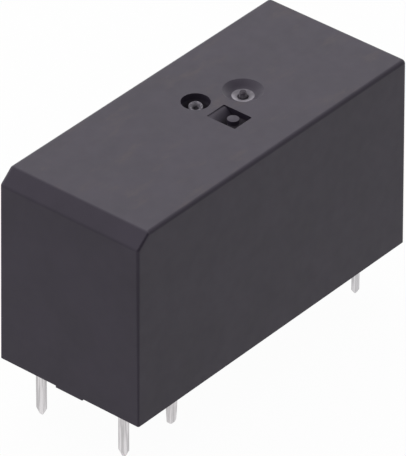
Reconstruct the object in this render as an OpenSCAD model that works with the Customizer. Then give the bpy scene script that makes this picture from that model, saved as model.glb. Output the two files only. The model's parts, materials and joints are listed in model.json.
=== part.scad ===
// Sealed power relay for a printed circuit board, with one normally open contact.
// A coil with its axis along X pulls a hinged armature at the +X end. The armature drags a
// card over the coil, and the card bends the contact spring at the -X end onto the fixed contact.
// Millimetres, +Z up. The origin is the centre of the footprint at the level of the pin tips.

/* [Cover] */
// Length of the cover at its bottom edge
cover_l = 29; // [28.4:0.1:31]
// Width of the cover at its bottom edge
cover_w = 12.55; // [12.1:0.05:13.6]
// Height of the cover from its bottom edge to its roof
cover_h = 15.5; // [15:0.05:17]
// How far each side leans in from the bottom edge to the roof
cover_draft = 0.07; // [0.03:0.01:0.2]
// Thickness of the side walls
cover_wall = 0.7; // [0.5:0.05:0.8]
// Thickness of the roof, and of the floors under its wells
cover_roof = 0.6; // [0.5:0.05:0.8]
// Radius of the upright corners
corner_r = 0.13; // [0.05:0.01:0.3]
// Radius round the roof and along both edges of the bevel
roof_edge_r = 0.34; // [0.1:0.01:0.45]
// Bevel that marks the contact end: its length along the roof
bevel_l = 1.15; // [0.3:0.05:1.5]
// Bevel that marks the contact end: its height
bevel_h = 1; // [0.3:0.05:1.4]
// Width of the foot in the middle of each short end
foot_w = 2.4; // [1:0.1:5]
// How far the feet stand below the bottom edge
foot_h = 0.15; // [0.1:0.01:0.3]

/* [Roof wells] */
// Vent well: distance from the middle of the roof towards the coil end
vent_x = 0.81; // [-1:0.01:2]
// Vent well: distance from the centre line
vent_y = 1.58; // [1.4:0.01:2.2]
// Vent well: radius
vent_r = 1.05; // [0.8:0.01:1.2]
// Vent well: depth
vent_depth = 1.3; // [1:0.05:1.4]
// Radius of the vent nib that stands in the well
nib_r = 0.53; // [0.45:0.01:0.6]
// How far the nib's rim lies below the roof
nib_drop = 0.34; // [0.1:0.01:0.6]
// Radius of the blind hole in the nib
nib_hole_r = 0.2; // [0.1:0.01:0.3]
// Marker well: length along the relay
well_l = 1.86; // [1.4:0.01:2.2]
// Marker well: width across the relay
well_w = 2.46; // [1.6:0.01:2.6]
// Marker well: depth
well_depth = 1.55; // [1:0.05:1.6]
// Marker well: how far its sloping side reaches in
well_slope = 1.4; // [0.1:0.05:1.6]
// Marker well: distance of its centre from the middle of the roof
well_x = 0.87; // [-0.5:0.01:1.2]
// Marker well: distance of its centre from the centre line
well_y = -1.41; // [-2:0.01:-1.3]
// Post in the marker well: distance from the well's centre towards the coil end
post_dx = 0.14; // [-0.2:0.01:0.2]
// Post in the marker well: distance from the well's centre across the relay
post_dy = -0.21; // [-0.3:0.01:0.3]
// Radius of the post in the marker well
post_r = 0.43; // [0.2:0.01:0.6]
// How far the post's top lies below the roof
post_drop = 0.12; // [0.02:0.01:0.5]
// Gate dish: distance of its centre from the middle of the roof
dish_x = 4.02; // [3.6:0.01:6]
// Gate dish: radius at the roof
dish_r = 1.48; // [1.1:0.01:1.6]
// Gate dish: radius at the outer edge of its polished ring
ring_r = 0.78; // [0.6:0.01:1]
// Gate dish: depth at the outer edge of its polished ring
dish_depth = 0.44; // [0.3:0.01:0.7]
// Gate dish: radius of the hole left by the gate
gate_r = 0.4; // [0.3:0.01:0.5]
// Gate dish: how far the torn tip in its hole lies below the roof
tip_drop = 0.07; // [0.05:0.01:0.4]

/* [Pins] */
// How far the pins reach below the cover's bottom edge
pin_drop = 4.4; // [3:0.1:6]
// Distance between the two rows of pins
row_pitch = 7.5; // [7.3:0.01:7.62]
// Distance from the contact end of the cover to the fixed contact's pins
fixed_pin_inset = 1.39; // [1.3:0.01:1.5]
// Distance from the coil end of the cover to the coil's pins
coil_pin_inset = 2.21; // [2.1:0.01:2.4]
// Distance between the fixed contact's pins and the spring's pins
contact_pitch = 5.08; // [5:0.01:5.2]
// Fixed contact's pins: width
fixed_pin_w = 0.7; // [0.5:0.01:0.9]
// Fixed contact's pins and plate: thickness of the sheet
fixed_pin_t = 0.34; // [0.25:0.01:0.4]
// Spring's pins: width where they leave the relay
spring_pin_w = 0.98; // [0.7:0.01:1]
// Spring's pins: width near the tip
spring_pin_tip_w = 0.74; // [0.4:0.01:0.75]
// Spring's pins and carrier: thickness of the sheet
spring_pin_t = 0.27; // [0.2:0.01:0.3]
// Coil's pins: size along the relay
coil_pin_w = 0.48; // [0.3:0.01:0.6]
// Coil's pins: size across the relay
coil_pin_t = 0.36; // [0.25:0.01:0.5]
// Length of the pointed end of the fixed contact's pins
fixed_point = 0.52; // [0.2:0.01:1]
// Length of the pointed end of the coil's pins
coil_point = 0.3; // [0.1:0.01:0.8]

/* [Base] */
// Thickness of the base's floor
floor_t = 1.2; // [0.9:0.05:1.5]
// Height of the base's floor above the cover's bottom edge
floor_up = 0.8; // [0.6:0.05:1]
// Thickness of the sealing resin under the floor
resin_t = 0.45; // [0.2:0.05:0.5]
// Thickness of the wall between the contacts and the coil
barrier_t = 0.8; // [0.5:0.05:0.9]
// Thickness of the tray walls beside the coil
tray_wall = 0.45; // [0.3:0.05:0.6]
// Height of the tray walls above the floor
tray_h = 1.9; // [0.5:0.1:3]
// Height of the grooved posts that hold the fixed contact's plate
post_h = 3.4; // [2:0.1:4]

/* [Magnet] */
// Thickness of the yoke
yoke_t = 1.2; // [0.9:0.05:1.3]
// Radius of the core, as a share of the winding's
core_share = 0.49; // [0.4:0.01:0.55]
// How much thinner the core's spigot is than the core, all round
spigot_step = 0.4; // [0.2:0.05:0.6]
// Radius of the core's pole face
pole_r = 3.2; // [2.5:0.05:3.6]
// Thickness of the pole face
pole_t = 0.5; // [0.3:0.05:0.7]
// Distance from the pole face back to the coil's pins
pole_to_pin = 1.39; // [1.3:0.01:1.5]
// Thickness of the armature
armature_t = 1; // [0.7:0.05:1.1]
// Angle by which the armature stands open at rest
armature_open = 3.7; // [3:0.05:3.8]
// Thickness of the spring clip that holds the armature to the yoke
clip_t = 0.15; // [0.1:0.01:0.2]
// Width of the spring clip
clip_w = 3.2; // [2:0.1:4]
// Length of the spring clip's arm under the yoke
clip_grip = 4; // [3:0.1:5]
// How far the spring clip reaches up the armature
clip_reach = 1.9; // [1.5:0.1:2.3]

/* [Coil] */
// Thickness of the bobbin's flanges
flange_t = 0.7; // [0.5:0.05:0.9]
// Wall of the bobbin's tube
tube_wall = 0.5; // [0.35:0.05:0.7]
// How far the winding stays inside the flanges
winding_margin = 0.35; // [0.2:0.05:0.8]
// Radius of the lead wires
lead_r = 0.12; // [0.08:0.01:0.15]
// Height of the lugs that hold the coil's pins
lug_h = 2.2; // [1.8:0.1:2.4]
// Length of each coil pin above its lug
stub_h = 0.9; // [0.7:0.1:1.1]

/* [Card] */
// Thickness of the card
card_t = 0.9; // [0.7:0.05:1.1]
// Width of the card
card_w = 4; // [3.4:0.1:4.6]
// Wall of the card round its windows
card_wall = 0.65; // [0.5:0.05:0.7]

/* [Contacts] */
// Radius of the contact heads
contact_r = 1.6; // [1.2:0.05:1.8]
// Thickness of the fixed contact's head
fixed_head = 0.7; // [0.5:0.05:0.75]
// Gap between the open contacts
contact_gap = 0.45; // [0.44:0.01:0.6]
// Distance from the card down to the contacts' axis
contact_drop = 2.65; // [2.2:0.05:3]
// Thickness of the contact spring
spring_t = 0.18; // [0.12:0.01:0.2]
// Width of the contact spring
spring_w = 5; // [3.6:0.1:5.4]

/* [Hidden] */
$fn = 48;

// Clearances: pieces that are pushed together, pieces that slide, and pieces that stay apart
fit = 0.03;
slide = 0.1;
air = 0.3;
eps = 0.01;

// Levels, from the pin tips up
edge_z = pin_drop;
roof_z = edge_z + cover_h;
bevel_angle = atan2(bevel_h, bevel_l);
floor_z = edge_z + floor_up;
deck_z = floor_z + floor_t;
yoke_top = deck_z + yoke_t;
well_under = roof_z - well_depth - cover_roof;
card_top = well_under - air;
card_z = card_top - card_t;
flange_top = card_z - slide;
flange_z = yoke_top + fit;
coil_z = (flange_top + flange_z) / 2;
contact_z = card_z - contact_drop;
push_z = card_z + card_t / 2;

// Places along the relay
fixed_x = -cover_l / 2 + fixed_pin_inset;
spring_pin_x = fixed_x + contact_pitch;
coil_pin_x = cover_l / 2 - coil_pin_inset;
fixed_face_x = fixed_x + fixed_pin_t / 2;
dome_h = 0.16;
moving_head = 0.76;
barrier_gap = 0.24;
yoke_gap = 0.2;
spring_x = fixed_face_x + fixed_head + contact_gap + moving_head;
carrier_x = spring_x + spring_t;
barrier_x = spring_pin_x + spring_pin_w / 2 + barrier_gap;
yoke_x = barrier_x + barrier_t + yoke_gap;
pole_x = coil_pin_x - pole_to_pin;
coil_x0 = yoke_x + yoke_t + fit;
coil_x1 = pole_x - pole_t;
row_y = row_pitch / 2;

// Hinge line of the armature, near the lower corner of the yoke's end
hinge_up = 0.3;
hinge_z = deck_z + hinge_up;

// Half sizes of the cavity at a level
function lean_at(z) = cover_draft * (z - edge_z) / (cover_h - cover_roof - corner_r);
function inner_l(z) = cover_l / 2 - cover_wall - lean_at(z);
function inner_w(z) = cover_w / 2 - cover_wall - lean_at(z);

// Sizes across the relay
floor_l = inner_l(deck_z) - fit;
floor_w = inner_w(deck_z) - fit;
tray_in = floor_w - tray_wall;
flange_w = tray_in - slide;
winding_r = min(flange_top - flange_z, 2 * flange_w) / 2 - winding_margin;
core_r = core_share * winding_r;
spigot_r = core_r - spigot_step;
tube_r = core_r + fit + tube_wall;
tongue_w = 2.9;
neck_w = tongue_w - air;
lug_y = tongue_w + slide;
tab_w = 1.4;
guide_y = card_w / 2 + slide;
plate_w = row_y + fixed_pin_w / 2;
spring_tongue_w = 1.1;

// Places and radii that several pieces share
yoke_bend = 0.4;
clip_x0 = pole_x - clip_grip;
lug_z = deck_z + lug_h;
coil_pin_top = lug_z + stub_h;
lead_z = lug_z + stub_h / 2;
shank_r = 0.75;
carrier_top = deck_z + 2;
root_z = deck_z + slide;
root_rivet_y = 1.4;
root_rivet_z = deck_z + 1;
root_rivet_r = 0.4;
rivet_head_r = root_rivet_r + 0.25;

module block(lo, hi) {
    translate(lo) cube(hi - lo);
}

// Upright prism with rounded corners, centred on Z
module round_prism(l, w, h, r) {
    translate([-l / 2 + r, -w / 2, 0]) cube([l - 2 * r, w, h]);
    translate([-l / 2, -w / 2 + r, 0]) cube([l, w - 2 * r, h]);
    for (x = [-1, 1], y = [-1, 1])
        translate([x * (l / 2 - r), y * (w / 2 - r), 0]) cylinder(r = r, h = h);
}

// Places a copy on each side of the XZ plane
module both_sides() {
    children();
    mirror([0, 1, 0]) children();
}

// Block whose four sides lean in by the draft. Its upright corners are round, and its top is
// spanned by balls, in pairs at the places [x, z] of the crown.
module drafted_block(l, w, h, draft, corner, top, crown) {
    $fn = 32;
    hull() {
        for (x = [-1, 1], y = [-1, 1])
            translate([x * (l / 2 - corner), y * (w / 2 - corner), 0]) cylinder(r = corner, h = eps);
        for (p = crown, y = [-1, 1])
            translate([p[0], y * (w / 2 - top - draft * p[1] / (h - top)), p[1]]) sphere(r = top);
    }
}

// Crown of a block with plain ends
function plain_crown(l, h, draft, top) =
    let (x = l / 2 - draft - top) [[-x, h - top], [x, h - top]];

// Crown of a block with the bevel at its -X end
function bevelled_crown(l, h, draft, top) = let (
    x = l / 2 - draft - top,
    low_z = h - bevel_h - top * tan(45 - bevel_angle / 2)
) [
    [x, h - top],
    [-l / 2 + draft + bevel_l + top * tan(bevel_angle / 2), h - top],
    [-l / 2 + draft * low_z / (h - top) + top, low_z]
];

// Void of the vent well: a ring round the nib, whose top is rounded into its hole
module vent_void() {
    rim = 0.08;
    mouth = nib_r - rim - nib_hole_r;
    hole_depth = 0.9;
    translate([vent_x, vent_y, roof_z]) rotate_extrude() polygon(concat(
        [[0, eps], [vent_r, eps], [vent_r, -vent_depth], [nib_r, -vent_depth]],
        arc([nib_r - rim, -nib_drop - rim], rim, 0, 67.5, 3),
        arc([nib_hole_r + mouth, -nib_drop - mouth], mouth, 90, 180, 6),
        [[nib_hole_r, -hole_depth], [0, -hole_depth]]
    ));
}

// Void of the marker well: one side slopes ever steeper down to its floor, and a post stands in it
module well_void() {
    corner = 0.1;
    under = -well_depth - eps;
    y1 = well_w / 2;
    steps = 8;
    slope = [for (i = [0:steps]) [y1 - well_slope * i / steps, -well_depth * pow(i / steps, 1.4)]];
    translate([well_x, well_y, roof_z]) difference() {
        translate([0, 0, -well_depth]) round_prism(well_l, well_w, well_depth + eps, corner);
        rotate([90, 0, 90]) linear_extrude(2 * well_l, center = true)
            polygon(concat([[y1 - well_slope, under], [y1 + eps, under], [y1 + eps, 0]], slope));
        translate([post_dx, post_dy, under]) cylinder(r = post_r, h = -under - post_drop);
    }
}

// Void of the gate dish: a cone down to a nearly flat ring, and a hole in which the gate's torn tip stands
module dish_void() {
    gate_z = -dish_depth - 0.08;
    hole_z = gate_z - 0.25;
    root_r = gate_r - fit;
    tip_r = 0.24;
    worn = 0.05;
    translate([dish_x, 0, roof_z]) rotate_extrude() polygon([
        [0, eps], [dish_r, eps], [dish_r, 0], [ring_r, -dish_depth], [gate_r, gate_z],
        [gate_r, hole_z], [root_r, hole_z], [tip_r, -tip_drop - worn], [tip_r - worn, -tip_drop],
        [0, -tip_drop]
    ]);
}

// Walls that the wells need inside the cover
module well_walls() {
    wall = 0.5;
    top = roof_z - cover_roof / 2;
    x0 = well_x - well_l / 2 - wall;
    x1 = well_x + well_l / 2 + wall;
    block([x0, well_y - well_w / 2 - wall, well_under], [x1, well_y + well_w / 2 + wall, top]);
    translate([vent_x, vent_y, well_under]) cylinder(r = vent_r + wall, h = top - well_under);
    translate([dish_x, 0, well_under]) cylinder(r = dish_r, h = top - well_under);
}

// Removes everything beyond the end bevel's plane, moved into the cover by the inset
module end_bevel_cut(inset) {
    size = 2 * cover_w;
    top_x = -cover_l / 2 + cover_draft + bevel_l;
    translate([top_x + inset * sin(bevel_angle), 0, roof_z - inset * cos(bevel_angle)])
        rotate([0, -bevel_angle, 0]) translate([-size / 2, -size / 2, 0]) cube(size);
}

module cover() {
    in_l = cover_l - 2 * cover_wall;
    in_w = cover_w - 2 * cover_wall;
    in_h = cover_h - cover_roof + eps;
    color([0.26, 0.25, 0.28]) difference() {
        union() {
            translate([0, 0, edge_z])
                drafted_block(cover_l, cover_w, cover_h, cover_draft, corner_r, roof_edge_r,
                              bevelled_crown(cover_l, cover_h, cover_draft, roof_edge_r));
            for (end = [-1, 1])
                translate([end * (cover_l - cover_wall) / 2, 0, edge_z - foot_h / 2])
                    cube([cover_wall, foot_w, foot_h], center = true);
        }
        difference() {
            translate([0, 0, edge_z - eps])
                drafted_block(in_l, in_w, in_h, cover_draft, corner_r, corner_r,
                              plain_crown(in_l, in_h, cover_draft, corner_r));
            well_walls();
            end_bevel_cut(cover_wall);
        }
        vent_void();
        well_void();
        dish_void();
    }
}

// Islands under the floor that the resin leaves bare
module base_islands(drop) {
    margin = 1;
    x0 = spring_pin_x + spring_pin_w + margin;
    x1 = coil_pin_x - coil_pin_w - margin;
    x2 = fixed_face_x + margin;
    x3 = spring_pin_x - spring_pin_w - margin / 2;
    corner = 0.45;
    groove = 1.2;
    dimple_r = 0.8;
    dimple_depth = 0.1;
    difference() {
        translate([(x0 + x1) / 2, 0, floor_z - drop])
            round_prism(x1 - x0, 2 * (floor_w - margin), drop + eps, corner);
        translate([(x0 + x1 - groove) / 2, -floor_w, floor_z - drop - eps])
            cube([groove, 2 * floor_w, drop - resin_t + eps]);
        for (x = [x0 + 2 * margin, x1 - 2 * margin], y = [-1, 1])
            translate([x, y * 2 * margin, floor_z - drop - eps]) cylinder(r = dimple_r, h = dimple_depth);
    }
    translate([(x2 + x3) / 2, 0, floor_z - drop])
        round_prism(x3 - x2, 2 * (row_y - margin), drop + eps, corner);
}

// Straight holes for the six pins, wider than the pins by the gap
module pin_holes(gap, z0, z1) {
    both_sides() {
        for (pin = [
            [fixed_x, fixed_pin_t, fixed_pin_w],
            [spring_pin_x, spring_pin_w, spring_pin_t],
            [coil_pin_x, coil_pin_w, coil_pin_t]
        ])
            block([pin[0] - pin[1] / 2 - gap, row_y - pin[2] / 2 - gap, z0],
                  [pin[0] + pin[1] / 2 + gap, row_y + pin[2] / 2 + gap, z1]);
    }
}

// Posts with a groove that holds an edge of the fixed contact's plate
module plate_posts() {
    wall = 0.6;
    top = deck_z + post_h;
    end_x = inner_l(top) - fit;
    both_sides() difference() {
        block([-end_x, plate_w - wall, deck_z - eps], [fixed_face_x + wall, inner_w(top) - fit, top]);
        block([fixed_x - fixed_pin_t / 2 - fit, 0, deck_z - 2 * eps],
              [fixed_face_x + fit, plate_w + fit, top + eps]);
    }
}

// Ribs that hold the spring carrier's flanges upright
module carrier_ribs() {
    rib = 0.6;
    rib_top = deck_z + 2 * rib;
    outer_y = row_y + spring_pin_t / 2 + fit;
    inner_y = row_y - spring_pin_t / 2 - fit;
    both_sides() {
        block([carrier_x, outer_y, deck_z - eps], [barrier_x + eps, floor_w, rib_top]);
        block([carrier_x + 2 * rib, inner_y - rib, deck_z - eps], [barrier_x + eps, inner_y, rib_top]);
    }
}

// Wall that parts the contacts from the coil, with a gate for the card in its top
module barrier() {
    half_w = inner_w(card_top) - fit;
    difference() {
        block([barrier_x, -half_w, deck_z - eps], [barrier_x + barrier_t, half_w, card_top]);
        block([barrier_x - eps, -guide_y, card_z - slide],
              [barrier_x + barrier_t + eps, guide_y, card_top + eps]);
    }
}

module base() {
    proud = 0.15;
    end_wall_h = 1;
    clip_room = 1;
    color([0.17, 0.17, 0.18]) difference() {
        intersection() {
            union() {
                block([-floor_l, -floor_w, floor_z], [floor_l, floor_w, deck_z]);
                base_islands(resin_t + proud);
                both_sides()
                    block([barrier_x, tray_in, deck_z - eps], [floor_l, floor_w, deck_z + tray_h]);
                block([floor_l - tray_wall, -floor_w, deck_z - eps], [floor_l, floor_w, deck_z + end_wall_h]);
                plate_posts();
                carrier_ribs();
                barrier();
            }
            translate([0, 0, edge_z]) round_prism(2 * floor_l, 2 * floor_w, cover_h, corner_r + slide);
        }
        pin_holes(fit, edge_z - eps, deck_z + eps);
        block([clip_x0 - slide, -clip_w / 2 - slide, deck_z - clip_t - fit],
              [coil_pin_x + clip_room, clip_w / 2 + slide, deck_z + eps]);
    }
}

// Resin that seals the floor to the cover and to the pins
module sealing_resin() {
    z0 = floor_z - resin_t;
    half_l = inner_l(floor_z);
    half_w = inner_w(floor_z);
    color([0.1, 0.1, 0.11]) difference() {
        translate([0, 0, z0]) round_prism(2 * half_l, 2 * half_w, resin_t, corner_r + fit);
        base_islands(2 * resin_t);
        pin_holes(0, z0 - eps, floor_z + eps);
    }
}

// Bobbin: tube, two flanges, horns that guide the card, and two lugs that hold the pins
module bobbin() {
    flange_h = flange_top - flange_z;
    corner = 0.6;
    horn_w = 0.6;
    lug_wall = 0.6;
    color([0.85, 0.83, 0.76]) difference() {
        union() {
            along_coil(coil_x0) cylinder(r = tube_r, h = coil_x1 - coil_x0);
            for (x = [coil_x0, coil_x1 - flange_t])
                along_coil(x) round_prism(flange_h, 2 * flange_w, flange_t, corner);
            for (x = [coil_x0, coil_x1 - flange_t]) both_sides()
                block([x, guide_y, flange_top - eps], [x + flange_t, guide_y + horn_w, card_top - slide]);
            both_sides()
                block([coil_x1 - flange_t, lug_y, deck_z], [coil_pin_x + lug_wall, flange_w, lug_z]);
        }
        along_coil(coil_x0 - eps) cylinder(r = core_r + fit, h = coil_x1 - coil_x0 + 2 * eps);
        pin_holes(fit, deck_z - eps, lug_z + eps);
        block([coil_x0 - eps, -flange_w - eps, flange_z - eps],
              [coil_x0 + yoke_bend, flange_w + eps, flange_z + yoke_bend]);
        both_sides() block([coil_x1 - flange_t - eps, row_y - 2 * lead_r, lug_z + eps],
                           [coil_x1 + eps, flange_w + eps, lead_z + 2 * lead_r]);
    }
}

// Turns a piece that stands on Z onto the coil's axis, starting at x
module along_coil(x) {
    translate([x, 0, coil_z]) rotate([0, 90, 0]) children();
}

module coil_winding() {
    x0 = coil_x0 + flange_t;
    len = coil_x1 - flange_t - x0;
    shoulder = 0.25;
    color([0.62, 0.3, 0.16]) along_coil(x0) rotate_extrude() polygon([
        [tube_r, 0], [winding_r - shoulder, 0], [winding_r, shoulder],
        [winding_r, len - shoulder], [winding_r - shoulder, len], [tube_r, len]
    ]);
}

// Core with its pole face at the armature and a staked end in the yoke
module core() {
    stake = 0.12;
    spread = 0.2;
    color([0.62, 0.62, 0.6]) {
        along_coil(yoke_x - stake) cylinder(r = spigot_r + spread, h = stake);
        along_coil(yoke_x - stake) cylinder(r = spigot_r, h = yoke_t + 2 * stake);
        along_coil(yoke_x + yoke_t) cylinder(r = core_r, h = coil_x1 - yoke_x - yoke_t + eps);
        along_coil(coil_x1) cylinder(r = pole_r, h = pole_t);
    }
}

// Yoke: a strip bent up behind the coil, narrowed to a tongue where the armature hinges
module yoke() {
    outer = yoke_bend + yoke_t;
    side_step = 0.5;
    half_w = flange_w - side_step;
    shoulder_x = coil_x1 - flange_t - slide;
    color([0.58, 0.58, 0.56]) difference() {
        intersection() {
            rotate([90, 0, 0]) linear_extrude(2 * half_w, center = true) union() {
                translate([yoke_x, deck_z + outer]) square([yoke_t, flange_top - air - deck_z - outer]);
                translate([yoke_x + outer, deck_z]) square([pole_x - yoke_x - outer, yoke_t]);
                translate([yoke_x + outer, deck_z + outer]) difference() {
                    circle(outer);
                    circle(yoke_bend);
                    translate([-2 * outer, 0]) square(4 * outer);
                    translate([0, -2 * outer]) square(4 * outer);
                }
            }
            union() {
                block([yoke_x, -half_w, deck_z], [shoulder_x, half_w, roof_z]);
                block([yoke_x, -tongue_w, deck_z], [pole_x, tongue_w, roof_z]);
            }
        }
        along_coil(yoke_x - eps) cylinder(r = spigot_r + fit, h = yoke_t + 2 * eps);
    }
}

// Spring clip: held between the yoke and the floor, and bent up behind the armature's foot
module hinge_clip() {
    r = 0.3;
    lean = armature_open;
    bend_x = pole_x + ((deck_z + r - hinge_z) * sin(lean) + armature_t + fit - r) / cos(lean);
    center = [bend_x, deck_z + r];
    up = clip_reach * [sin(lean), cos(lean)];
    color([0.75, 0.75, 0.74]) rotate([90, 0, 0]) linear_extrude(clip_w, center = true)
        polygon(concat(
            [[clip_x0, deck_z]],
            arc(center, r, -90, -lean),
            [center + r * [cos(lean), -sin(lean)] + up,
             center + (r + clip_t) * [cos(lean), -sin(lean)] + up],
            arc(center, r + clip_t, -lean, -90),
            [[clip_x0, deck_z - clip_t]]
        ));
}

// Points along an arc
function arc(c, r, a0, a1, n = 8) =
    [for (i = [0:n]) let (a = a0 + (a1 - a0) * i / n) c + r * [cos(a), sin(a)]];

// Outline of a pin whose lower end narrows to a small flat
function spear(w, top, point, flat) =
    [[-flat / 2, 0], [flat / 2, 0], [w / 2, point], [w / 2, top], [-w / 2, top], [-w / 2, point]];

module coil_pin() {
    flat = 0.1;
    color([0.78, 0.78, 0.76]) translate([coil_pin_x, row_y, 0]) intersection() {
        rotate([90, 0, 0]) linear_extrude(coil_pin_t, center = true)
            polygon(spear(coil_pin_w, coil_pin_top, coil_point, flat));
        rotate([90, 0, 90]) linear_extrude(coil_pin_w, center = true)
            polygon(spear(coil_pin_t, coil_pin_top, coil_point, flat));
    }
}

// Lead: soldered round the pin, laid through the flange's notch and turned in to the winding
module coil_lead() {
    turn_r = 1.2 * lead_r;
    inner_x = coil_x1 - flange_t - 2 * lead_r;
    turn_y = sqrt(pow(winding_r, 2) - pow(coil_z - lead_z, 2)) + turn_r + 2 * fit;
    solder_r = 0.42;
    color([0.72, 0.42, 0.2]) difference() {
        union() {
            translate([coil_pin_x, row_y, lead_z - 2 * lead_r]) cylinder(r = solder_r, h = 4 * lead_r);
            translate([inner_x, row_y, lead_z]) rotate([0, 90, 0])
                cylinder(r = lead_r, h = coil_pin_x - inner_x);
            translate([inner_x, turn_y, lead_z]) rotate([-90, 0, 0])
                cylinder(r = turn_r, h = row_y + turn_r - turn_y);
        }
        pin_holes(0, lug_z, roof_z);
    }
}

// Fixed contact's plate with its two pins, all one stamping across the relay
module fixed_contact_plate() {
    low_top = deck_z + post_h - 2 * slide;
    tongue = 2.4;
    shoulder = 1;
    top = contact_z + contact_r + air;
    corner = 0.8;
    tip = 0.24;
    color([0.72, 0.5, 0.3]) difference() {
        intersection() {
            translate([fixed_x, 0, 0]) rotate([90, 0, 90])
            linear_extrude(fixed_pin_t, center = true) union() {
                for (side = [-1, 1])
                    translate([side * row_y, 0]) polygon(spear(fixed_pin_w, deck_z + eps, fixed_point, tip));
                polygon([
                    [-plate_w, deck_z], [plate_w, deck_z], [plate_w, low_top], [tongue, low_top + shoulder],
                    [tongue, top - corner], [-tongue, top - corner], [-tongue, low_top + shoulder],
                    [-plate_w, low_top]
                ]);
                translate([-tongue + corner, top - 2 * corner]) square([2 * (tongue - corner), 2 * corner]);
                for (side = [-1, 1]) translate([side * (tongue - corner), top - corner]) circle(corner);
            }
            translate([fixed_x, 0, 0]) rotate([90, 0, 0]) linear_extrude(cover_w, center = true)
                polygon(spear(fixed_pin_t, roof_z, fixed_point, tip / 2));
        }
        at_contact(fixed_x - fixed_pin_t) cylinder(r = shank_r + fit, h = 2 * fixed_pin_t);
    }
}

// Places a piece on the contacts' axis, with its base at x and pointing along +X
module at_contact(x) {
    translate([x, 0, contact_z]) rotate([0, 90, 0]) children();
}

module fixed_contact() {
    back = 0.2;
    back_r = contact_r - 0.4;
    edge = 0.15;
    color([0.8, 0.79, 0.75]) {
        at_contact(fixed_face_x - fixed_pin_t - back) cylinder(r = back_r, h = back);
        at_contact(fixed_face_x - fixed_pin_t - back) cylinder(r = shank_r, h = fixed_pin_t + 2 * back);
        at_contact(fixed_face_x) rotate_extrude() polygon([
            [0, 0], [contact_r, 0], [contact_r, fixed_head - edge],
            [contact_r - edge, fixed_head], [0, fixed_head]
        ]);
    }
}

// Spring carrier: a channel folded from sheet, with one pin under each flange
module spring_carrier() {
    half_w = row_y + spring_pin_t / 2;
    bend = 0.2 + spring_pin_t;
    flange_x = spring_pin_x + spring_pin_w / 2;
    web = 1;
    flange_h = 1.6;
    color([0.72, 0.5, 0.3]) difference() {
        union() {
            translate([0, 0, deck_z]) linear_extrude(carrier_top - deck_z) difference() {
                bent_plan(carrier_x, flange_x, half_w, bend);
                bent_plan(carrier_x + spring_pin_t, flange_x + web,
                          half_w - spring_pin_t, bend - spring_pin_t);
            }
            both_sides() translate([spring_pin_x, row_y, 0]) rotate([90, 0, 0])
                linear_extrude(spring_pin_t, center = true) polygon(blade_outline());
        }
        block([carrier_x + web, -cover_w / 2, deck_z + flange_h], [flange_x + web, cover_w / 2, roof_z]);
        for (y = [-1, 1]) at_root(y, carrier_x - eps) cylinder(r = root_rivet_r + fit, h = 2 * spring_pin_t);
    }
}

// Plan of a channel whose two corners at x0 are bent round
module bent_plan(x0, x1, half_w, r) {
    translate([x0 + r, -half_w]) square([x1 - x0 - r, 2 * half_w]);
    translate([x0, -half_w + r]) square([r + eps, 2 * (half_w - r)]);
    for (side = [-1, 1]) translate([x0 + r, side * (half_w - r)]) circle(r);
}

// Outline of a spring pin: a blade that narrows towards a rounded tip
function blade_outline() = let (
    root = spring_pin_w / 2,
    tip = spring_pin_tip_w / 2,
    taper = 1.9,
    r = 0.26
) concat(
    [[-root, deck_z + eps], [-root, taper], [-tip, r]],
    arc([-tip + r, r], r, 180, 270, 4),
    arc([tip - r, r], r, 270, 360, 4),
    [[tip, r], [root, taper], [root, deck_z + eps]]
);

// Places a rivet at the spring's root, on one side of the centre line
module at_root(side, x) {
    translate([x, side * root_rivet_y, root_rivet_z]) rotate([0, 90, 0]) children();
}

module spring_rivets() {
    head = 0.18;
    color([0.7, 0.62, 0.5]) for (side = [-1, 1]) {
        at_root(side, spring_x - head) cylinder(r = rivet_head_r, h = head);
        at_root(side, spring_x - head) cylinder(r = root_rivet_r, h = spring_t + spring_pin_t + 2 * head);
        at_root(side, carrier_x + spring_pin_t) cylinder(r = rivet_head_r, h = head);
    }
}

// Contact spring: a flat strip with a slot, and a tongue that stands in the card's window
module contact_spring() {
    half_w = spring_w / 2;
    shoulder_z = contact_z + contact_r + 2 * slide;
    corner = 0.6;
    slot_w = 0.8;
    slot_margin = 0.6;
    slot_z0 = carrier_top + slot_margin;
    slot_z1 = contact_z - contact_r - slot_margin;
    color([0.8, 0.6, 0.36]) difference() {
        union() {
            block([spring_x, -half_w, root_z], [carrier_x, half_w, shoulder_z - corner]);
            block([spring_x, -half_w + corner, root_z], [carrier_x, half_w - corner, shoulder_z]);
            block([spring_x, -spring_tongue_w, root_z], [carrier_x, spring_tongue_w, card_top + slide]);
            for (side = [-1, 1]) translate([spring_x, side * (half_w - corner), shoulder_z - corner])
                rotate([0, 90, 0]) cylinder(r = corner, h = spring_t);
        }
        at_contact(spring_x - eps) cylinder(r = shank_r + fit, h = spring_t + 2 * eps);
        for (side = [-1, 1])
            at_root(side, spring_x - eps) cylinder(r = root_rivet_r + fit, h = spring_t + 2 * eps);
        block([spring_x - eps, -slot_w / 2, slot_z0], [carrier_x + eps, slot_w / 2, slot_z1]);
    }
}

// Moving contact: a domed head on the spring's -X side, riveted through it
module moving_contact() {
    back = 0.22;
    back_r = contact_r - 0.5;
    dome_r = (pow(contact_r, 2) + pow(dome_h, 2)) / (2 * dome_h);
    half_angle = asin(contact_r / dome_r);
    color([0.8, 0.79, 0.75]) {
        translate([spring_x, 0, contact_z]) rotate([0, -90, 0]) rotate_extrude() polygon(concat(
            [[0, 0], [contact_r, 0]],
            arc([0, moving_head - dome_r], dome_r, 90 - half_angle, 90)
        ));
        at_contact(spring_x - eps) cylinder(r = shank_r, h = spring_t + back);
        at_contact(carrier_x) cylinder(r = back_r, h = back);
    }
}

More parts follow.
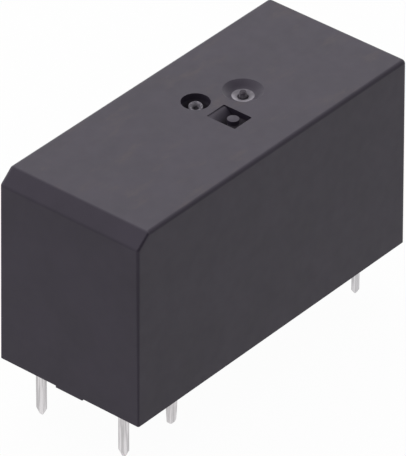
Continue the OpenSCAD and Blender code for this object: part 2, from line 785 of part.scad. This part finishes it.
// Armature: hinged at the foot of the yoke's tongue and open at rest, its tab in the card's window
module armature() {
    wide = flange_w - 2 * air;
    foot_corner = 0.3;
    corner = 0.5;
    wide_z0 = coil_pin_top + air;
    wide_z1 = coil_z + pole_r + air;
    top = card_top + slide;
    outline = [
        [neck_w - foot_corner, hinge_z], [neck_w, hinge_z + foot_corner], [neck_w, wide_z0],
        [wide, wide_z0 + corner], [wide, wide_z1 - corner], [wide - corner, wide_z1],
        [tab_w, wide_z1], [tab_w, top]
    ];
    color([0.6, 0.6, 0.58]) translate([pole_x, 0, hinge_z]) rotate([0, armature_open, 0])
        translate([0, 0, -hinge_z]) rotate([90, 0, 90]) linear_extrude(armature_t)
            polygon(concat(outline, [for (i = [len(outline) - 1:-1:0]) [-outline[i][0], outline[i][1]]]));
}

// Card: a strap over the coil with a window for the spring's tongue and one for the armature's tab
module card() {
    lean = tan(armature_open);
    tab_x0 = pole_x + (card_z - hinge_z) * lean - fit;
    tab_x1 = pole_x + (card_top - hinge_z) * lean + armature_t / cos(armature_open) + fit;
    tongue_x0 = spring_x - air;
    tongue_x1 = carrier_x + 2 * fit;
    travel = (push_z - hinge_z) * armature_open * PI / 180;
    corner = 0.4;
    rib = 0.3;
    rib_y = card_w / 2 - 3 * rib;
    color([0.9, 0.88, 0.8]) difference() {
        union() {
            translate([(tongue_x0 + tab_x1) / 2, 0, card_z])
                round_prism(tab_x1 - tongue_x0 + 2 * card_wall, card_w, card_t, corner);
            both_sides() block([coil_x0 + flange_t + travel + slide, rib_y, card_z - rib + slide],
                               [coil_x1 - flange_t - slide, rib_y + 2 * rib, card_z + eps]);
        }
        block([tongue_x0, -spring_tongue_w - slide, card_z - eps],
              [tongue_x1, spring_tongue_w + slide, card_top + eps]);
        block([tab_x0, -tab_w - slide, card_z - eps], [tab_x1, tab_w + slide, card_top + eps]);
    }
}

cover();
base();
sealing_resin();
bobbin();
coil_winding();
core();
yoke();
hinge_clip();
mirror([0, 1, 0]) coil_pin();  // coil_pin_front
coil_pin();  // coil_pin_rear
mirror([0, 1, 0]) coil_lead();  // coil_lead_front
coil_lead();  // coil_lead_rear
fixed_contact_plate();
fixed_contact();
spring_carrier();
spring_rivets();
armature();
card();
contact_spring();
moving_contact();
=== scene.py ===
"""Looks of the sealed circuit board relay: its camera, light, moulded cover and materials."""

import json
import math

import bmesh
import bpy
from mathutils import Matrix, Vector


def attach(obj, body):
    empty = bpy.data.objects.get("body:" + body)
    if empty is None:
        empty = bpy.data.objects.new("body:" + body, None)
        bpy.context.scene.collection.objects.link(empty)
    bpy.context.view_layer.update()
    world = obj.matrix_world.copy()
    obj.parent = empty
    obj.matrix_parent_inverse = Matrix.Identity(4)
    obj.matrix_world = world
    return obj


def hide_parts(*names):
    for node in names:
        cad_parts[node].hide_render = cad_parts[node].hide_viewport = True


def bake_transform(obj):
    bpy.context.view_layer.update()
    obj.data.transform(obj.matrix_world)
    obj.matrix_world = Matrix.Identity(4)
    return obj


MM = 0.001

# The cover's places, in millimetres: the roof's level, the gate dish, the vent's nib and the marker well's slope
ROOF_Z = 19.9
DISH = (4.02, 0.0)
DISH_RING = (0.4, 0.78)
DISH_DEPTH = 0.44
TIP_DROP = 0.07
VENT = (0.81, 1.58)
NIB_R = 0.6
NIB_DEPTH = 1.2
WELL_X = (-0.06, 1.8)
WELL_Y = (-1.58, -0.18)
WELL_DEPTH = 1.55
WELL_CURVE = 1.4

# The small step at the top of the marker well's slope: where the slope is cut for it, its drop, how fast that
# fades down the slope, and how far the slope's upper end moves out
STEP_CUT = 0.03
STEP_DROP = 0.075
STEP_FADE = 4
TOP_SHARE = 0.1
TOP_SHIFT = 0.05

# The vent nib's top: the direction in which it rises, its slope, and how much lower it lies in the middle
NIB_RISE = (0.77, 0.64)
NIB_TILT = 0.22
NIB_DROP = 0.03

# Radius given to the cover's sharp edges, in millimetres, and the angle from which an edge is sharp
LIP_R = 0.05
LIP_ANGLE = 30

# Round edge along the cover's near side: its radius, and the balls at the roof's corner and at the bevel's foot.
# Each has its middle, two directions in degrees from straight up, and the share of the radius left there
EDGE_R = 0.34
CORNER_BALLS = (
    {"middle": (-13.153, -5.865, 19.56), "angles": (0, 41), "shares": (1.0, 0.5)},
    {"middle": (-14.094, -5.869, 18.745), "angles": (41, 90), "shares": (0.5, 0.7)},
)

# The contact spring: the levels between which it bends, and the number of cuts between them
BEND_LOW = 8.4
BEND_HIGH = 12.2
BEND_CUTS = 12

# Smallest distances, in millimetres: points of a mesh that are one, and the slack around a place on the cover
MERGE = 0.0005
SLACK = 0.01

# Angle from which shading shows an edge
SHADED_EDGE = math.radians(40)

# The photograph's camera, found from the box's corners and the pins
AZIMUTH = -50.2279
ELEVATION = 34.5515
ROLL = 0.3143
YAW = 0.0189
PITCH = -0.1966
DISTANCE = 432.438
TARGET_Z = 12.25
FOCAL_PX = 6236.65
IMAGE_H_PX = 456
SENSOR = 36.0

# The studio: half the floor's width and the share of its white that is seen as it is, the level direction in
# which the world is brightest with its range and strengths, and the softbox
FLOOR_HALF = 4
FLOOR_SHARE = 0.97
BEHIND = (0.45, 0.893, 0.0)
BEHIND_RANGE = (-0.7, 0.6)
BEHIND_STRENGTH = (0.3, 1.8)
SOFTBOX_PLACE = (0.1, 0.12, 0.5)
SOFTBOX_SIZE = 0.35
SOFTBOX_WATTS = 0.5
SOFTBOX_TARGET = (0, 0, 0.01)


def make_camera():
    """Makes the photograph's camera, turned a little off its target as the fit found it."""
    a, e, r, y, p = (math.radians(v) for v in (AZIMUTH, ELEVATION, ROLL, YAW, PITCH))
    back = Vector((math.sin(a) * math.cos(e), -math.cos(a) * math.cos(e), math.sin(e)))
    right = Vector((math.cos(a), math.sin(a), 0))
    up = back.cross(right)
    place = (Vector((0, 0, TARGET_Z)) + back * DISTANCE) * MM
    back, right = back * math.cos(y) + right * math.sin(y), right * math.cos(y) - back * math.sin(y)
    back, up = back * math.cos(p) - up * math.sin(p), up * math.cos(p) + back * math.sin(p)
    right, up = right * math.cos(r) + up * math.sin(r), up * math.cos(r) - right * math.sin(r)
    data = bpy.data.cameras.new("photo_camera")
    data.sensor_width = SENSOR
    data.lens = FOCAL_PX * SENSOR / IMAGE_H_PX
    data.clip_start = 0.01
    data.clip_end = 20
    camera = bpy.data.objects.new("photo_camera", data)
    bpy.context.scene.collection.objects.link(camera)
    turn = Matrix((right, up, back)).transposed().to_4x4()
    camera.matrix_world = Matrix.Translation(place) @ turn
    bpy.context.scene.camera = camera


class Nodes:
    """Short calls for building a node tree."""

    def __init__(self, tree):
        self.tree = tree
        self.tree.nodes.clear()

    def add(self, kind, **settings):
        node = self.tree.nodes.new(kind)
        for name, value in settings.items():
            setattr(node, name, value)
        return node

    def link(self, source, target):
        self.tree.links.new(source, target)

    def put(self, value, socket):
        """Sets a socket to a number, or links it to another socket."""
        if isinstance(value, bpy.types.NodeSocket):
            self.link(value, socket)
        else:
            socket.default_value = value

    def math(self, operation, *values):
        node = self.add("ShaderNodeMath", operation=operation)
        for value, socket in zip(values, node.inputs):
            self.put(value, socket)
        return node.outputs[0]

    def times(self, *values):
        """The product of two or more values."""
        product = values[0]
        for value in values[1:]:
            product = self.math("MULTIPLY", product, value)
        return product

    def dot(self, first, second):
        node = self.add("ShaderNodeVectorMath", operation="DOT_PRODUCT")
        self.put(first, node.inputs[0])
        self.put(second, node.inputs[1])
        return node.outputs["Value"]

    def mix(self, share, low, high):
        """A colour between two."""
        node = self.add("ShaderNodeMix", data_type="RGBA")
        self.put(share, node.inputs[0])
        self.put(low, node.inputs[6])
        self.put(high, node.inputs[7])
        return node.outputs[2]

    def ramp(self, value, low, high, to_low=0.0, to_high=1.0):
        """Maps a value smoothly from one range to another."""
        node = self.add("ShaderNodeMapRange", interpolation_type="SMOOTHSTEP")
        for number, socket in zip((value, low, high, to_low, to_high), node.inputs):
            self.put(number, socket)
        return node.outputs[0]

    def fall(self, value, low, high):
        """1 below a range, 0 above it, and smooth between."""
        return self.ramp(value, low, high, 1.0, 0.0)

    def place(self, stretch=(1, 1, 1)):
        """The point of the surface in the part's own frame, in millimetres, stretched by three factors."""
        coordinates = self.add("ShaderNodeTexCoord").outputs["Object"]
        node = self.add("ShaderNodeVectorMath", operation="MULTIPLY")
        self.link(coordinates, node.inputs[0])
        node.inputs[1].default_value = tuple(s / MM for s in stretch)
        return node.outputs[0]

    def from_axis(self, x, y, axis):
        """Distance from an upright axis."""
        square_x = self.math("POWER", self.math("SUBTRACT", x, axis[0]), 2.0)
        square_y = self.math("POWER", self.math("SUBTRACT", y, axis[1]), 2.0)
        return self.math("SQRT", self.math("ADD", square_x, square_y))

    def noise(self, point, scale, detail=2.0, roughness=0.5):
        node = self.add("ShaderNodeTexNoise")
        self.link(point, node.inputs["Vector"])
        node.inputs["Scale"].default_value = scale
        node.inputs["Detail"].default_value = detail
        node.inputs["Roughness"].default_value = roughness
        return node.outputs[0]

    def bump(self, height, strength, distance=0.01 * MM):
        node = self.add("ShaderNodeBump")
        node.inputs["Strength"].default_value = strength
        node.inputs["Distance"].default_value = distance
        self.link(height, node.inputs["Height"])
        return node.outputs[0]

    def finish(self, color, roughness, normal, metallic=0.0, specular=0.5):
        """The surface's shader and output."""
        shader = self.add("ShaderNodeBsdfPrincipled")
        shader.inputs["Metallic"].default_value = metallic
        shader.inputs["Specular IOR Level"].default_value = specular
        self.put(color, shader.inputs["Base Color"])
        self.put(roughness, shader.inputs["Roughness"])
        self.link(normal, shader.inputs["Normal"])
        output = self.add("ShaderNodeOutputMaterial")
        self.link(shader.outputs[0], output.inputs["Surface"])
        return shader


def new_material(name):
    material = bpy.data.materials.new(name)
    material.use_nodes = True
    return material, Nodes(material.node_tree)


def moulded_plastic(name, color, roughness, cloud=0.12):
    """Moulded plastic: fine grain of the mould, and clouds of slightly other tone and gloss."""
    material, n = new_material(name)
    point = n.place()
    clouds = n.noise(point, 0.35, detail=4)
    dark = tuple(c * (1 - cloud) for c in color) + (1,)
    light = tuple(c * (1 + cloud) for c in color) + (1,)
    tone = n.mix(n.ramp(clouds, 0.3, 0.7), dark, light)
    gloss = n.ramp(n.noise(point, 1.3, detail=3), 0.2, 0.8, roughness - 0.05, roughness + 0.05)
    n.finish(tone, gloss, n.bump(n.noise(point, 9, detail=3, roughness=0.6), 0.4))
    return material


def add_roof_patches(n, z, tone):
    """Wiped patches: broad, faint and warm, on the roof alone."""
    roof = n.ramp(z, ROOF_Z - 0.05, ROOF_Z - 0.01)
    patches = n.ramp(n.noise(n.place((0.25, 0.6, 1)), 1.0, detail=6, roughness=0.65), 0.52, 0.72)
    return n.mix(n.times(roof, patches), tone, (0.032, 0.024, 0.030, 1))


def add_dish_ring(n, point, x, y, z, tone):
    """The ring at the bottom of the gate dish: a lighter tone painted as its polished sheen, with painted light
    strongest on its near left side and uneven painted sheen across it.
    """
    off = n.from_axis(x, y, DISH)
    between = n.times(n.ramp(off, DISH_RING[0] - 0.04, DISH_RING[0]),
                      n.fall(off, DISH_RING[1], DISH_RING[1] + 0.05))
    bottom = n.ramp(z, ROOF_Z - DISH_DEPTH - 0.14, ROOF_Z - DISH_DEPTH - 0.1)
    # Painted sheen: uneven lighter and darker patches across the ring.
    painted_sheen_patches = n.ramp(n.noise(point, 2.2, detail=3), 0.3, 0.7)
    # Painted light: the ring is lighter towards its near left side.
    towards = n.math("ADD", n.times(n.math("SUBTRACT", x, DISH[0]), -0.9),
                     n.times(n.math("SUBTRACT", y, DISH[1]), -0.45))
    painted_light_side = n.ramp(towards, -0.5, 0.5)
    share = n.math("ADD", n.times(painted_light_side, 0.7), n.times(painted_sheen_patches, 0.3))
    light = n.mix(share, (0.10, 0.093, 0.108, 1), (0.33, 0.31, 0.345, 1))
    return n.mix(n.times(between, bottom), tone, light)


def add_torn_gate(n, torn, speckle, z, tone):
    """Torn plastic of the gate inside the ring, dark where its tip was pressed flat."""
    pressed = n.ramp(z, ROOF_Z - TIP_DROP - 0.04, ROOF_Z - TIP_DROP - 0.01)
    rough_gate = n.mix(speckle, (0.07, 0.06, 0.075, 1), (0.15, 0.14, 0.155, 1))
    return n.mix(torn, tone, n.mix(pressed, rough_gate, (0.035, 0.03, 0.038, 1)))


def add_painted_well_light(n, x, y, z, tone):
    """Painted light on the walls deep in the wells: the vent's walls lighter, the marker well's slope a little
    darker than the roof, and its near wall much lighter.
    """
    deep = n.fall(z, ROOF_Z - 0.6, ROOF_Z - 0.4)
    inboard_y = n.fall(n.math("ABSOLUTE", y), 3.5, 4.0)
    inboard_x = n.fall(n.math("ABSOLUTE", n.math("SUBTRACT", x, 2.0)), 4.5, 5.0)
    # Painted light: lighter tones deep in the vent and by the marker well's near wall, where light reaches them.
    painted_well_tone = n.mix(n.ramp(y, -0.3, 0.0), (0.019, 0.016, 0.022, 1), (0.055, 0.048, 0.062, 1))
    painted_well_tone = n.mix(n.ramp(y, -1.6, -1.2), (0.14, 0.125, 0.15, 1), painted_well_tone)
    return n.mix(n.times(deep, inboard_y, inboard_x), tone, painted_well_tone)


def add_painted_nib_light(n, speckle, x, y, z, tone):
    """Painted light and highlights on the nib that stands in the vent: a lighter, speckled tone."""
    inside = n.fall(n.from_axis(x, y, VENT), NIB_R - 0.03, NIB_R)
    nib = n.times(inside, n.ramp(z, ROOF_Z - NIB_DEPTH, ROOF_Z - NIB_DEPTH + 0.1))
    # Painted light and highlights: the nib's lighter, speckled tone.
    return n.mix(nib, tone, n.mix(speckle, (0.06, 0.055, 0.068, 1), (0.15, 0.14, 0.16, 1)))


def cover_plastic():
    """The cover's black plastic, with its wiped roof, its torn gate, painted sheen on the dish's ring, and
    painted light on the vent's nib and deep in its wells.
    """
    material, n = new_material("cover_plastic")
    point = n.place()
    split = n.add("ShaderNodeSeparateXYZ")
    n.link(point, split.inputs[0])
    x, y, z = split.outputs
    clouds = n.ramp(n.noise(point, 0.3, detail=5, roughness=0.55), 0.3, 0.7)
    speckle = n.ramp(n.noise(point, 4.5, detail=3), 0.4, 0.6)
    torn = n.fall(n.from_axis(x, y, DISH), DISH_RING[0] - 0.04, DISH_RING[0] + 0.02)
    tone = n.mix(clouds, (0.0195, 0.0155, 0.0258, 1), (0.0240, 0.0190, 0.0312, 1))
    tone = add_roof_patches(n, z, tone)
    tone = add_dish_ring(n, point, x, y, z, tone)
    tone = add_torn_gate(n, torn, speckle, z, tone)
    tone = add_painted_well_light(n, x, y, z, tone)
    tone = add_painted_nib_light(n, speckle, x, y, z, tone)
    gloss = n.ramp(n.noise(point, 1.1, detail=4), 0.2, 0.8, 0.44, 0.50)
    gloss = n.math("ADD", gloss, n.times(torn, 0.35))
    fine = n.noise(point, 11, detail=3, roughness=0.65)
    shader = n.finish(tone, gloss, n.bump(fine, 0.25, 0.008 * MM), specular=0.3)
    shader.inputs["Specular Tint"].default_value = (0.98, 0.915, 1.0, 1)
    return material


def poured_resin():
    """Black resin, glossy where it was poured and a little uneven."""
    material, n = new_material("resin")
    point = n.place()
    waves = n.noise(point, 0.5, detail=3)
    tone = n.mix(n.ramp(waves, 0.3, 0.7), (0.012, 0.012, 0.014, 1), (0.024, 0.023, 0.026, 1))
    gloss = n.ramp(n.noise(point, 2, detail=3), 0.2, 0.8, 0.12, 0.3)
    n.finish(tone, gloss, n.bump(waves, 0.6, 0.05 * MM))
    return material


def drawn_metal(name, color, roughness, stretch=(6, 6, 0.35), streak=0.0):
    """Rolled or drawn metal: fine lines along the stretch's short factor, faint stains, and streaks if asked."""
    material, n = new_material(name)
    lines = n.noise(n.place(stretch), 2.5, detail=4, roughness=0.6)
    stains = n.noise(n.place(), 0.9, detail=4)
    stained = tuple(c * 0.85 for c in color) + (1,)
    tone = n.mix(n.ramp(stains, 0.35, 0.7), color + (1,), stained)
    if streak:
        shade = tuple(c * (1 - streak) for c in color) + (1,)
        light = tuple(min(c * (1 + 0.5 * streak), 1.0) for c in color) + (1,)
        wide = n.noise(n.place(tuple(0.35 * s for s in stretch)), 2.5, detail=2)
        tone = n.mix(0.7, tone, n.mix(n.ramp(wide, 0.38, 0.62), shade, light))
    gloss = n.ramp(lines, 0.25, 0.75, roughness - 0.08, roughness + 0.08)
    n.finish(tone, gloss, n.bump(lines, 0.35, 0.004 * MM), metallic=1.0)
    return material


def wound_copper():
    """Turns of enamelled wire that lie side by side along the coil's axis."""
    material, n = new_material("copper_winding")
    wave = n.add("ShaderNodeTexWave", bands_direction="X")
    n.link(n.place(), wave.inputs["Vector"])
    wave.inputs["Scale"].default_value = 1.6
    wave.inputs["Distortion"].default_value = 0.6
    turns = wave.outputs[1]
    tone = n.mix(turns, (0.16, 0.05, 0.02, 1), (0.50, 0.20, 0.09, 1))
    n.finish(tone, n.ramp(turns, 0, 1, 0.45, 0.25), n.bump(turns, 0.8, 0.04 * MM), metallic=0.8)
    return material


def lathed_silver():
    """Silver alloy with fine turning marks and grey patches."""
    material, n = new_material("contact_silver")
    point = n.place()
    fine = n.noise(point, 14, detail=4)
    patches = n.ramp(n.noise(point, 1.2, detail=4), 0.4, 0.7)
    tone = n.mix(patches, (0.80, 0.79, 0.75, 1), (0.66, 0.65, 0.62, 1))
    n.finish(tone, n.ramp(fine, 0.2, 0.8, 0.22, 0.38), n.bump(fine, 0.2, 0.004 * MM), metallic=1.0)
    return material


def make_materials():
    """One material for each of the record's slots."""
    return {
        "cover_plastic": cover_plastic(),
        "base_plastic": moulded_plastic("base_plastic", (0.045, 0.045, 0.048), 0.5),
        "resin": poured_resin(),
        "bobbin_plastic": moulded_plastic("bobbin_plastic", (0.72, 0.69, 0.58), 0.42, cloud=0.05),
        "copper_winding": wound_copper(),
        "magnet_iron": drawn_metal("magnet_iron", (0.52, 0.51, 0.49), 0.38, (0.35, 6, 6)),
        "spring_steel": drawn_metal("spring_steel", (0.62, 0.62, 0.61), 0.28, (0.35, 6, 6)),
        "tinned_pins": drawn_metal("tinned_pins", (0.66, 0.645, 0.66), 0.36, streak=0.32),
        "tinned_copper": drawn_metal("tinned_copper", (0.68, 0.66, 0.67), 0.36, streak=0.32),
        "spring_bronze": drawn_metal("spring_bronze", (0.70, 0.44, 0.22), 0.3),
        "rivet_copper": drawn_metal("rivet_copper", (0.64, 0.50, 0.36), 0.32, (6, 6, 6)),
        "contact_silver": lathed_silver(),
        "card_plastic": moulded_plastic("card_plastic", (0.82, 0.79, 0.68), 0.4, cloud=0.05),
    }


def dress(obj, material):
    obj.data.materials.clear()
    obj.data.materials.append(material)


def start_piece(name, node):
    """A new object with a copy of a node's mesh, and that mesh opened with its shared points merged."""
    piece = bpy.data.objects.new(name, node.data.copy())
    bpy.context.scene.collection.objects.link(piece)
    mesh = bmesh.new()
    mesh.from_mesh(piece.data)
    bmesh.ops.remove_doubles(mesh, verts=mesh.verts, dist=MERGE * MM)
    return piece, mesh


def close_piece(piece, mesh):
    """Writes the changed mesh back, with smooth shading between its sharp edges."""
    for face in mesh.faces:
        face.smooth = True
    mesh.to_mesh(piece.data)
    mesh.free()
    piece.data.set_sharp_from_angle(angle=SHADED_EDGE)


def share_of_radius(ball, off):
    """The share of the edge's radius that is left in one direction from a ball's middle."""
    low, high = ball["angles"]
    first, last = ball["shares"]
    t = (math.degrees(math.atan2(-off.x, off.z)) - low) / (high - low)
    return first + (last - first) * min(max(t, 0.0), 1.0)


def tighten_near_edge(mesh):
    """Makes the round edge tighter down the bevel's near side, from the roof's corner to the bevel's foot."""
    off_surface, past_middle = 0.004, 0.001
    roof = max(vert.co.z for vert in mesh.verts)
    for vert in mesh.verts:
        for ball in CORNER_BALLS:
            middle = Vector(ball["middle"])
            off = vert.co / MM - middle
            if abs(off.length - EDGE_R) > off_surface or max(off.x, off.y, -off.z) > past_middle:
                continue
            reach = math.hypot(off.x, off.z)
            if reach < past_middle:
                break
            share = share_of_radius(ball, off)
            grow = (EDGE_R - share * (EDGE_R - reach)) / reach
            side = EDGE_R - share * (EDGE_R + off.y)
            vert.co = (middle + Vector((off.x * grow, -side, off.z * grow))) * MM
            vert.co.z = min(vert.co.z, roof)
            break


def cut_slope(mesh):
    """Cuts the marker well's slope along its top, where its step ends."""
    slope = [face for face in mesh.faces
             if face.normal.z > 0.5 and abs(face.normal.x) < 0.01 and face.normal.y < -0.3
             and WELL_X[0] < face.calc_center_median().x / MM < WELL_X[1]]
    parts = dict.fromkeys(part for face in slope for part in (face, *face.edges, *face.verts))
    bmesh.ops.bisect_plane(mesh, geom=list(parts), dist=1e-7,
                           plane_co=(0, (WELL_Y[1] - STEP_CUT) * MM, 0), plane_no=(0, 1, 0))


def shape_wells(mesh):
    """Lets the marker well's slope start at a small step, a little further out, and tilts the vent nib."""
    cut_slope(mesh)
    for vert in mesh.verts:
        x, y, z = vert.co / MM
        if WELL_X[0] - SLACK < x < WELL_X[1] + SLACK and WELL_Y[0] < y < WELL_Y[1] + SLACK:
            t = max((WELL_Y[1] - y) / (WELL_Y[1] - WELL_Y[0]), 0.0)
            level = ROOF_Z - WELL_DEPTH * t ** WELL_CURVE
            if z < ROOF_Z - 0.5 * SLACK and abs(z - level) < 2 * SLACK:
                vert.co.z -= STEP_DROP * (1 - t) ** STEP_FADE * MM
            if t < TOP_SHARE:
                vert.co.y += TOP_SHIFT * MM
        dx, dy = x - VENT[0], y - VENT[1]
        if math.hypot(dx, dy) < NIB_R and z > ROOF_Z - NIB_DEPTH:
            vert.co.z += (NIB_TILT * (NIB_RISE[0] * dx + NIB_RISE[1] * dy) - NIB_DROP) * MM


def make_cover_shell(node):
    """A finer cover: the CAD cover's form with every sharp edge rounded, as the mould leaves it."""
    shell, mesh = start_piece("cover_shell", node)
    bmesh.ops.dissolve_limit(mesh, angle_limit=math.radians(0.4), verts=mesh.verts, edges=mesh.edges)
    tighten_near_edge(mesh)
    shape_wells(mesh)
    sharp = [edge for edge in mesh.edges
             if edge.is_manifold and edge.calc_face_angle() > math.radians(LIP_ANGLE)]
    bmesh.ops.bevel(mesh, geom=sharp, offset=LIP_R * MM, offset_type="OFFSET", segments=2,
                    profile=0.5, affect="EDGES", clamp_overlap=True)
    close_piece(shell, mesh)
    normals = shell.modifiers.new("flat_faces_stay_flat", "WEIGHTED_NORMAL")
    normals.keep_sharp = True
    split = shell.modifiers.new("split_large_faces", "TRIANGULATE")
    split.min_vertices = 5
    split.keep_custom_normals = True
    return shell


def make_spring_strip(node):
    """The contact spring, cut into short lengths where it bends between the carrier's edge and the contact."""
    strip, mesh = start_piece("spring_strip", node)
    for i in range(BEND_CUTS + 1):
        level = BEND_LOW + (BEND_HIGH - BEND_LOW) * i / BEND_CUTS
        bmesh.ops.bisect_plane(mesh, geom=[*mesh.verts, *mesh.edges, *mesh.faces], dist=1e-7,
                               plane_co=(0, 0, level * MM), plane_no=(0, 0, 1))
    close_piece(strip, mesh)
    if "custom_normal" in strip.data.attributes:
        strip.data.attributes.remove(strip.data.attributes["custom_normal"])
    return strip


def make_floor():
    """A white floor that keeps the object's soft shadow."""
    mesh = bmesh.new()
    bmesh.ops.create_grid(mesh, x_segments=1, y_segments=1, size=FLOOR_HALF)
    data = bpy.data.meshes.new("floor")
    mesh.to_mesh(data)
    mesh.free()
    floor = bpy.data.objects.new("floor", data)
    bpy.context.scene.collection.objects.link(floor)
    material, n = new_material("floor_white")
    diffuse = n.add("ShaderNodeBsdfDiffuse")
    diffuse.inputs["Color"].default_value = (0.6, 0.6, 0.6, 1)
    glow = n.add("ShaderNodeEmission")
    glow.inputs["Color"].default_value = (1, 1, 1, 1)
    glow.inputs["Strength"].default_value = 1.0
    seen = n.add("ShaderNodeLightPath").outputs
    plain = n.math("MAXIMUM", seen["Is Camera Ray"], seen["Is Glossy Ray"])
    plain = n.math("MAXIMUM", plain, seen["Is Transmission Ray"])
    mix = n.add("ShaderNodeMixShader")
    n.link(n.times(plain, FLOOR_SHARE), mix.inputs[0])
    n.link(diffuse.outputs[0], mix.inputs[1])
    n.link(glow.outputs[0], mix.inputs[2])
    output = n.add("ShaderNodeOutputMaterial")
    n.link(mix.outputs[0], output.inputs["Surface"])
    data.materials.append(material)


def make_world():
    """A studio that is bright behind the relay and dim on the camera's side."""
    world = bpy.data.worlds.new("studio")
    world.use_nodes = True
    bpy.context.scene.world = world
    n = Nodes(world.node_tree)
    direction = n.add("ShaderNodeTexCoord").outputs["Generated"]
    strength = n.ramp(n.dot(direction, BEHIND), *BEHIND_RANGE, *BEHIND_STRENGTH)
    background = n.add("ShaderNodeBackground")
    n.link(strength, background.inputs["Strength"])
    background.inputs["Color"].default_value = (1, 1, 1, 1)
    output = n.add("ShaderNodeOutputWorld")
    n.link(background.outputs[0], output.inputs["Surface"])


def add_softbox():
    """A square softbox above the relay and behind it, facing it."""
    data = bpy.data.lights.new("overhead", "AREA")
    data.shape = "SQUARE"
    data.size = SOFTBOX_SIZE
    data.energy = SOFTBOX_WATTS
    lamp = bpy.data.objects.new("overhead", data)
    bpy.context.scene.collection.objects.link(lamp)
    lamp.location = SOFTBOX_PLACE
    away = Vector(SOFTBOX_PLACE) - Vector(SOFTBOX_TARGET)
    lamp.rotation_euler = away.to_track_quat("Z", "Y").to_euler()


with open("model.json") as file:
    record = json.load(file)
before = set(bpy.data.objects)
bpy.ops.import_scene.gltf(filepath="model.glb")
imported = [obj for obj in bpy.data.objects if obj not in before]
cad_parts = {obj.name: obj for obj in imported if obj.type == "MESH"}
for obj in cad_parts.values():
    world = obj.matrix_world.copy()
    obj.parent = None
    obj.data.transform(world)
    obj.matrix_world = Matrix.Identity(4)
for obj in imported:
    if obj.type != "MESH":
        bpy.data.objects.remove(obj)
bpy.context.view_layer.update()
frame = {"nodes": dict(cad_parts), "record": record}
make_camera()
bpy.context.scene.view_settings.view_transform = "Standard"
make_world()
make_floor()
add_softbox()

materials = make_materials()
slots = {entry["node"]: entry["material_slot"] for entry in frame["record"]["subparts"]}
for name, node in frame["nodes"].items():
    dress(node, materials[slots[name]])

cover_shell = make_cover_shell(frame["nodes"]["cover"])
dress(cover_shell, materials["cover_plastic"])
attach(cover_shell, "housing")
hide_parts("cover")

spring_strip = make_spring_strip(frame["nodes"]["contact_spring"])
dress(spring_strip, materials["spring_bronze"])
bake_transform(spring_strip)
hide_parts("contact_spring")
